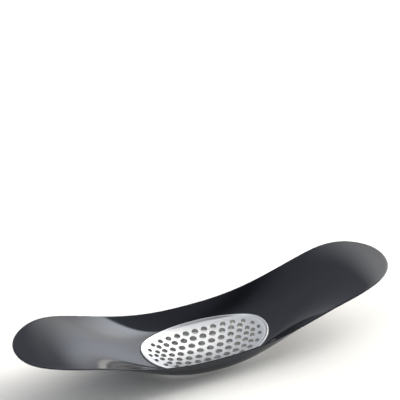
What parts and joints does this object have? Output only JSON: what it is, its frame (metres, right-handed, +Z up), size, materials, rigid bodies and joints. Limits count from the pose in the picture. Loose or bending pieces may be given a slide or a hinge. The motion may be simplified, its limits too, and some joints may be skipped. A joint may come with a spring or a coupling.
{
  "type": "rocking garlic crusher",
  "caption": "Boat-shaped garlic press: a dark tray with upturned ends as handles, rocked by hand on a perforated metal plate in its floor that pushes pulp up into the tray.",
  "frame": {"origin": "under the middle of the crushing plate, on the small flat of its belly that the press rests on", "axes": "+X along the length, from one handle to the other; +Y across; +Z up"},
  "size_m": [0.1854, 0.0474, 0.0284],
  "materials": {
    "smoke_plastic": "gloss",
    "cast_metal": "satin polished casting"
  },
  "bodies": {
    "root": {"tray_body": "smoke_plastic", "crushing_plate": "cast_metal"}
  },
  "joints": []
}
